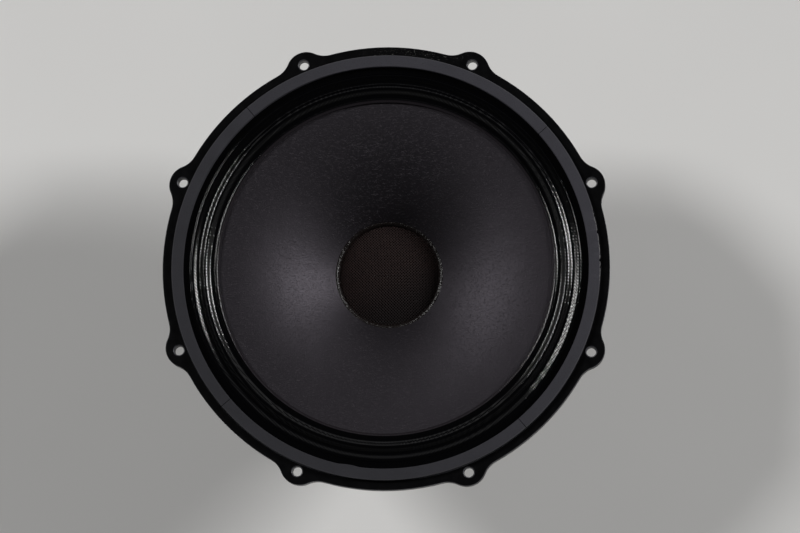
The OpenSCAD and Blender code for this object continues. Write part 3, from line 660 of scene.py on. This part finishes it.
def tube(path, radius, sides=6):
    """A round tube along a list of points, closed at both ends.

    It starts as an upright cylinder, 1 high for each stretch of the path. So a ring's height tells
    which point it belongs to.
    """
    bm = bmesh.new()
    length = len(path) - 1
    bmesh.ops.create_cone(bm, cap_ends=True, segments=sides, radius1=radius, radius2=radius,
                          depth=length)
    long_edges = [edge for edge in bm.edges if edge.verts[0].co.z * edge.verts[1].co.z < 0]
    bmesh.ops.subdivide_edges(bm, edges=long_edges, cuts=length - 1, use_grid_fill=True)
    turns = []
    heading = Vector((0, 0, 1))
    turn = Matrix.Identity(3)
    for i in range(length + 1):
        ahead = (path[min(i + 1, length)] - path[max(i - 1, 0)]).normalized()
        turn = heading.rotation_difference(ahead).to_matrix() @ turn
        turns.append(turn)
        heading = ahead
    for vertex in bm.verts:
        i = round(vertex.co.z + length / 2)
        vertex.co = path[i] + turns[i] @ Vector((vertex.co.x, vertex.co.y, 0))
    return bm


def tubes(paths, radius, sides=6):
    """Round tubes along several paths, in one bmesh."""
    whole = bmesh.new()
    for path in paths:
        add_part(whole, tube(path, radius, sides))
    return whole


def woven(reach, height, pitch, radius, sway, turn, sides, steps):
    """Two crossing rows of threads that pass over and under each other by sway.

    They are cut to a round of radius reach and laid on height(r). Each crossing takes the given steps.
    """
    count = int(reach / pitch)
    paths = []
    for i in range(-count, count + 1):
        across = i * pitch
        half = math.sqrt(reach ** 2 - across ** 2)
        for crossed in (False, True):
            path = []
            for along in spread(-half, half, max(2, round(2 * half / pitch * steps))):
                side = math.cos(math.pi * along / pitch) * (-1) ** i
                lift = sway * (side if crossed else -side)
                flat = Vector((across, along)) if crossed else Vector((along, across))
                flat.rotate(Matrix.Rotation(turn, 2))
                path.append(Vector((flat.x, flat.y, height(flat.length) + lift)))
            paths.append(path)
    return tubes(paths, radius, sides)


def softened(node, width, body):
    """Stands a copy of a CAD node, with its edges rounded, in place of the node."""
    bm = bmesh.new()
    bm.from_mesh(nodes[node].data)
    bmesh.ops.remove_doubles(bm, verts=bm.verts, dist=2 * weld_gap)
    bmesh.ops.dissolve_limit(bm, angle_limit=math.radians(0.5), use_dissolve_boundaries=False,
                             verts=bm.verts, edges=bm.edges)
    # A face of many corners is split here, because after the bevel its triangles could cross a bore.
    most_corners = 12
    bmesh.ops.triangulate(bm, faces=[face for face in bm.faces if len(face.verts) > most_corners])
    slot = nodes[node].material_slots[0].name
    piece = finish_piece(node + "_rounded", bm, slot, body, (node,))
    bevel = piece.modifiers.new("rounded_edges", "BEVEL")
    bevel.width = width
    bevel.segments = 2
    bevel.limit_method = "ANGLE"
    bevel.angle_limit = math.radians(34)
    bevel.use_clamp_overlap = False
    bevel.harden_normals = True


def blend_radially(piece, fixed_r, moving_r):
    """Bakes the piece's place into its mesh, and works out a share for each vertex by radius.

    The share runs smoothly from 0 at fixed_r to 1 at moving_r, and is not used.
    """
    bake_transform(piece)
    for vertex in piece.data.vertices:
        share = clamped((fixed_r - math.hypot(vertex.co.x, vertex.co.y)) / (fixed_r - moving_r))
        share * share * (3 - 2 * share)


def polar_angle(place):
    """Degrees from the X axis, from 0 to 360."""
    return math.degrees(math.atan2(place.y, place.x)) % 360


# Pieces


def make_gasket():
    """Four arcs of gasket sheet, with a frayed stretch of outer edge and a bulge at the inner edge."""
    step_angle = math.radians(0.32)
    bevel = 0.25 * MM
    frayed_from, frayed_to = 356.5, 15.5
    frayed_depth, plain_depth = 0.9 * MM, 0.05 * MM
    bulge_from, bulge_to = 257.5, 263.5
    bulge = 0.7 * MM
    top_dip = 0.12 * MM
    outline = [
        (gasket_inner_r + bevel, gasket_top), (gasket_r - bevel, gasket_top),
        (gasket_r, gasket_top - bevel), (gasket_r, gasket_low + bevel),
        (gasket_r - bevel, gasket_low), (gasket_inner_r + bevel, gasket_low),
        (gasket_inner_r, gasket_low + bevel), (gasket_inner_r, gasket_top - bevel),
    ]

    def ragged(place):
        angle = polar_angle(place)
        r = math.hypot(place.x, place.y)
        outward = Vector((place.x, place.y, 0)) / r
        outer = r > gasket_r - 2 * bevel
        frayed = outer and (angle > frayed_from or angle < frayed_to)
        depth = frayed_depth if frayed else plain_depth
        sink = min(0.0, noise.noise(place * 520) * depth * 2)
        if not outer and bulge_from < angle < bulge_to and r < gasket_inner_r + 2 * bevel:
            sink = -bulge * math.sin(math.pi * (angle - bulge_from) / (bulge_to - bulge_from))
        upper = place.z > gasket_low + 1 * MM
        lift = noise.noise(place * 55) * top_dip if upper else 0.0
        return outward * sink + Vector((0, 0, min(lift, 0.0)))

    gap = seam_w / gasket_r
    span = TAU / gasket_parts - gap
    for i in range(gasket_parts):
        start = seam_angle + i * TAU / gasket_parts + gap / 2
        bm = spun(outline, round(span / step_angle), span)
        bmesh.ops.rotate(bm, verts=bm.verts, cent=(0, 0, 0), matrix=Matrix.Rotation(start, 3, "Z"))
        rumple(bm, ragged)
        replaced = ("front_gasket",) if i == 0 else ()
        finish_piece(f"gasket_arc_{i + 1}", bm, "gasket_grey", "chassis", replaced)


def make_surround():
    """Doped cloth with a lip on the cone, two rolls and a flat landing, a little crinkled."""
    radii = spread(lip_inner_r, wave_start_r, count=28)[:-1]
    radii += spread(wave_start_r, wave_end_r, count=66)
    radii += spread(wave_end_r + wave_margin, gasket_r, count=3)
    bm = spun(shell_outline(radii, surround_top, surround_t), steps=480)
    fade_w = 1.5 * MM
    sway = 0.16 * MM
    crease = 0.05 * MM
    ridge_lump = 0.14 * MM

    def crinkle(place):
        r = math.hypot(place.x, place.y)
        free = clamped((r - cone_r) / fade_w) * clamped((wave_end_r - r) / fade_w)
        flat = Vector((place.x, place.y, 0))
        outward = flat / r
        wide = noise.noise(flat * 30)
        fine = noise.noise(flat * 180) + 0.5 * noise.noise(flat * 500)
        lump = hump(r, lip_ridge_r, lip_ridge_w) * noise.noise(flat * 280) * ridge_lump
        lift = crease * (fine - 1) * free + lump
        return outward * (wide * sway * free) + Vector((0, 0, lift))

    rumple(bm, crinkle)
    piece = finish_piece("surround_cloth", bm, "doped_cloth", None, ("surround",))
    blend_radially(piece, wave_end_r, wave_start_r)


def make_cone():
    """The paper cone, a little uneven."""
    radii = spread(neck_r, cone_r, count=48)
    bm = spun(shell_outline(radii, cone_front, cone_t), steps=300)
    unevenness = 0.1 * MM

    def uneven(place):
        return Vector((0, 0, (noise.noise(place * 38) - 0.3) * unevenness))

    rumple(bm, uneven)
    finish_piece("paper_cone", bm, "cone_paper", "moving_assembly", ("cone",))


def make_dust_cap():
    """Woven mesh over a thin sealing coat."""
    edge_gap = 0.05 * MM
    thread_sink = 0.62 * MM
    coat_sink = 1.3 * MM
    coat_t = 0.3 * MM

    def thread_z(r):
        return cap_top_at(r) - thread_sink

    threads = woven(cap_r - edge_gap, thread_z, mesh_pitch, thread_r, sway=0.24 * MM,
                    turn=math.radians(45), sides=5, steps=4)
    finish_piece("dust_cap_mesh", threads, "cap_mesh", "moving_assembly", ("dust_cap",),
                 sharp=smooth_tubes_up_to)
    radii = spread(0.0, cap_r, count=24)
    outline = [(r, cap_top_at(r) - coat_sink) for r in radii]
    outline += [(r, cap_top_at(r) - coat_sink - coat_t) for r in reversed(radii)]
    coat = spun(outline, steps=96)
    finish_piece("dust_cap_coat", coat, "cap_mesh", "moving_assembly", finish="cap_coat")


def make_bead():
    """The lumpy bead of glue round the dust cap, thicker on the left."""
    arch_steps = 14
    foot_sink = 0.3 * MM
    foot_lift = 0.05 * MM
    thick_from, thick_to = 178, 212
    thickening = 0.35 * MM
    coarse_lump, fine_lump = 0.2 * MM, 0.3 * MM
    inner_foot = cap_top_at(bead_inner_r) - foot_sink
    outer_foot = cone_front(bead_inner_r + bead_w)
    outline = []
    for along in spread(0.0, 1.0, arch_steps):
        chord = inner_foot * (1 - along) + outer_foot * along
        arch = foot_lift + bead_height * math.sin(math.pi * along)
        outline.append((bead_inner_r + bead_w * along, chord + arch))
    bm = spun(outline, steps=420)

    def lumps(place):
        along = (math.hypot(place.x, place.y) - bead_inner_r) / bead_w
        crown = math.sin(math.pi * clamped(along))
        thick = thickening if thick_from < polar_angle(place) < thick_to else 0.0
        lump = noise.noise(place * 320) * coarse_lump + noise.noise(place * 1100) * fine_lump
        return Vector((0, 0, (lump + thick) * crown))

    rumple(bm, lumps)
    finish_piece("cap_glue_bead", bm, "black_adhesive", "moving_assembly", ("cap_adhesive",),
                 sharp=smooth_tubes_up_to)


def make_spider():
    """Corrugated cloth between the former and the frame."""
    radii = spread(spider_inner_r, spider_wave_start, count=3)[:-1]
    radii += spread(spider_wave_start, spider_wave_end, count=72)
    radii += spread(spider_wave_end + wave_margin, spider_r, count=5)
    bm = spun(shell_outline(radii, spider_top, spider_t), steps=280)
    piece = finish_piece("spider_disc", bm, "spider_cloth", None, ("spider",))
    blend_radially(piece, spider_wave_end, spider_wave_start)


def make_winding():
    """One layer of round wire, wound as a helix over a plain sleeve on the former."""
    low, high = low_z("voice_coil_winding"), top_z("voice_coil_winding")
    wire_r = 0.19 * MM
    wire_pitch = 2.02 * wire_r
    steps_per_turn = 60
    turns = int((high - low) / wire_pitch) - 1
    steps = turns * steps_per_turn
    r = winding_r - wire_r
    path = []
    for i in range(steps + 1):
        along = i / steps
        angle = TAU * turns * along
        z = low + wire_r + (high - low - 2 * wire_r) * along
        path.append(Vector((r * math.cos(angle), r * math.sin(angle), z)))
    bm = tube(path, wire_r, sides=5)
    add_part(bm, spun([(former_r, low), (r, low), (r, high), (former_r, high)], steps=120))
    finish_piece("coil_wire", bm, "coil_copper", "moving_assembly", ("voice_coil_winding",),
                 sharp=smooth_tubes_up_to)


def lead_path(side):
    """The lead's centre line, from its tag to the joint on the former, as the CAD lead runs."""
    tag_end = Vector((side * 11.0, -92.5, -37.1)) * MM
    joint_r, joint_z = 34.6, -41.8
    joint_angle = math.radians(-90 + side * 14)
    outward = Vector((math.cos(joint_angle), math.sin(joint_angle), 0))
    joint_end = outward * joint_r * MM + Vector((0, 0, joint_z * MM))
    first = tag_end + Vector((0, 16, -2)) * MM
    second = joint_end + outward * 16 * MM + Vector((0, 0, 3 * MM))
    points = []
    for t in spread(0.0, 1.0, count=90):
        s = 1 - t
        points.append(s ** 3 * tag_end + 3 * s * s * t * first + 3 * s * t * t * second
                      + t ** 3 * joint_end)
    return points


def make_lead(side, word):
    """A lead laid up from strands that wind round its centre line."""
    lead_r = 0.8 * MM
    strand_r = 0.24 * MM
    strands = 7
    lay_turns = 9
    centre = lead_path(side)
    last = len(centre) - 1
    paths = [centre]
    for k in range(strands):
        path = []
        for i, place in enumerate(centre):
            ahead = centre[min(i + 1, last)] - centre[max(i - 1, 0)]
            across = ahead.cross(Vector((0, 0, 1))).normalized()
            up = across.cross(ahead).normalized()
            turn = TAU * (k / strands + lay_turns * i / last)
            path.append(place + (across * math.cos(turn) + up * math.sin(turn)) * (lead_r - strand_r))
        paths.append(path)
    bm = tubes(paths, strand_r)
    piece = finish_piece(f"lead_{word}_strands", bm, "lead_braid", None, (f"lead_{word}",),
                         sharp=smooth_tubes_up_to)
    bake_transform(piece)
    add_solder(centre[0], word)


def add_solder(tag_end, word):
    """The lump of solder that holds a lead on its tag."""
    stretch = (1.2, 1.9, 0.95)
    offset = Vector((0, 0.3, -0.35)) * MM
    unevenness = 0.18
    bm = bmesh.new()
    bmesh.ops.create_uvsphere(bm, u_segments=20, v_segments=12, radius=1.0 * MM)
    bmesh.ops.scale(bm, verts=bm.verts, vec=stretch)
    bmesh.ops.translate(bm, verts=bm.verts, vec=tag_end + offset)
    rumple(bm, lambda place: (place - tag_end) * noise.noise(place * 900) * unevenness)
    finish_piece(f"solder_{word}", bm, "tinned_brass", "chassis")


def make_spring(word):
    """The spring behind a terminal's plunger."""
    low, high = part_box(f"spring_{word}")
    wire_r = 0.25 * MM
    turns = 4
    steps = turns * 32
    coil_r = (high.x - low.x) / 2 - wire_r
    middle = (low + high) / 2
    path = []
    for i in range(steps + 1):
        angle = TAU * turns * i / steps
        x = middle.x + coil_r * math.cos(angle)
        y = high.y - wire_r - (high.y - low.y - 2 * wire_r) * i / steps
        path.append(Vector((x, y, middle.z + coil_r * math.sin(angle))))
    bm = tube(path, wire_r)
    piece = finish_piece(f"terminal_spring_{word}", bm, "spring_wire", None, (f"spring_{word}",),
                         sharp=smooth_tubes_up_to)
    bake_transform(piece)


def make_vent_screen():
    """A woven wire screen in the pole's vent, held in a turned rim."""
    low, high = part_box("vent_screen")
    wire_r = 0.22 * MM
    rim_overlap = 0.9 * MM
    reach = high.x - wire_r
    middle = (low.z + high.z) / 2
    bm = woven(reach, lambda r: middle, pitch=1.6 * MM, radius=wire_r,
               sway=(high.z - low.z) / 2 - wire_r, turn=0.0, sides=6, steps=6)
    finish_piece("vent_wire_screen", bm, "screen_steel", "chassis", ("vent_screen",),
                 sharp=smooth_tubes_up_to)
    inner = reach - rim_overlap
    rim = spun([(inner, low.z), (high.x, low.z), (high.x, high.z), (inner, high.z)], steps=96)
    finish_piece("vent_screen_rim", rim, "screen_steel", "chassis")


def finish_shown_nodes():
    """Gives each CAD node that still shows the finish of its slot."""
    for node in nodes.values():
        if not node.hide_render:
            slot = node.material_slots[0].name
            node.material_slots[0].link = "OBJECT"
            node.material_slots[0].material = FINISH[slot]


make_gasket()
make_surround()
make_cone()
make_dust_cap()
make_bead()
make_spider()
make_winding()
make_vent_screen()
for side, word in ((1, "positive"), (-1, "negative")):
    make_lead(side, word)
    make_spring(word)
    softened(f"barrel_{word}", 0.12 * MM, "chassis")
    softened(f"solder_tag_{word}", 0.12 * MM, "chassis")
    softened(f"plunger_{word}", 0.12 * MM, f"terminal_push_{word}")
softened("basket", 0.35 * MM, "chassis")
softened("motor_screws", 0.25 * MM, "chassis")
softened("board_screws", 0.15 * MM, "chassis")
softened("terminal_board", 0.25 * MM, "chassis")
finish_shown_nodes()


# Floor, lights and camera


def make_floor():
    bm = bmesh.new()
    bmesh.ops.create_grid(bm, x_segments=2, y_segments=2, size=30.0)
    bmesh.ops.translate(bm, verts=bm.verts, vec=(0, 0, floor_z))
    mesh = bpy.data.meshes.new("floor")
    bm.to_mesh(mesh)
    bm.free()
    s = Surface("pale_floor", srgb(222, 221, 219), roughness=0.9, specular_ior_level=0.1)
    s.set("Base Color", s.mix(s.noise(s.place(), 0.004, 3), srgb(218, 217, 215), srgb(226, 225, 223)))
    mesh.materials.append(s.material)
    floor = bpy.data.objects.new("floor", mesh)
    scene.collection.objects.link(floor)


def add_lamp(name, azimuth, elevation, strength, width):
    """A far, broad lamp at an azimuth from the X axis. Its angles are in degrees."""
    distance = 2.0
    around = math.radians(azimuth)
    flat = math.cos(math.radians(elevation))
    rise = math.sin(math.radians(elevation))
    place = Vector((flat * math.cos(around), flat * math.sin(around), rise))
    data = bpy.data.lights.new(name, "SUN")
    data.energy = strength
    data.angle = math.radians(width)
    lamp = bpy.data.objects.new(name, data)
    lamp.location = place * distance
    lamp.rotation_euler = place.to_track_quat("Z", "Y").to_euler()
    scene.collection.objects.link(lamp)


def light_world(walls, near_fill, far_fill, ceiling):
    """Pale walls at the horizon, a fill that is stronger on the far side, and a dim ceiling.

    The walls are only seen and mirrored. They cast no light.
    """
    world = bpy.data.worlds.new("studio")
    world.use_nodes = True
    scene.world = world
    s = Shading(world.node_tree, "Background")
    y, up = s.split(s.node("ShaderNodeTexCoord", output="Generated"))[1:]
    fill = s.ease(y, -0.6, 0.6, near_fill, far_fill)
    low = s.ease(up, 0.02, 0.14, 1.0, 0.0)
    high = s.ease(up, 0.1, 0.75)
    seen = 0
    for ray in ("Is Camera Ray", "Is Glossy Ray", "Is Transmission Ray"):
        seen = s.node("ShaderNodeLightPath", output=ray) + seen
    s.set("Color", (1, 1, 1, 1))
    s.set("Strength", seen * low * (walls - fill) + fill * (1 - high) + high * ceiling)


def add_camera():
    """The photograph's view: nearly along the axis, from a little towards -Y and +X."""
    distance = 2.2
    back = Vector((0.0645, -0.1533, 0.9861)).normalized()
    roll = math.radians(0.67)
    aim_right, aim_up = 9.3, 1.15
    level = Vector((0, 1, 0)).cross(back).normalized()
    upright = back.cross(level)
    right = level * math.cos(roll) + upright * math.sin(roll)
    up = upright * math.cos(roll) - level * math.sin(roll)
    data = bpy.data.cameras.new("camera")
    data.sensor_width = 36
    data.lens = 147.5
    camera = bpy.data.objects.new("camera", data)
    camera.matrix_world = Matrix((right, up, back)).transposed().to_4x4()
    camera.location = right * aim_right * MM + up * aim_up * MM + back * distance
    scene.collection.objects.link(camera)
    scene.camera = camera


make_floor()
add_lamp("left_lamp", azimuth=155.7, elevation=36.5, strength=1.7, width=15)
add_lamp("right_lamp", azimuth=18.9, elevation=27.0, strength=2.6, width=15)
light_world(walls=0.62, near_fill=0.15, far_fill=0.5, ceiling=0.02)
add_camera()
scene.view_settings.view_transform = "Standard"
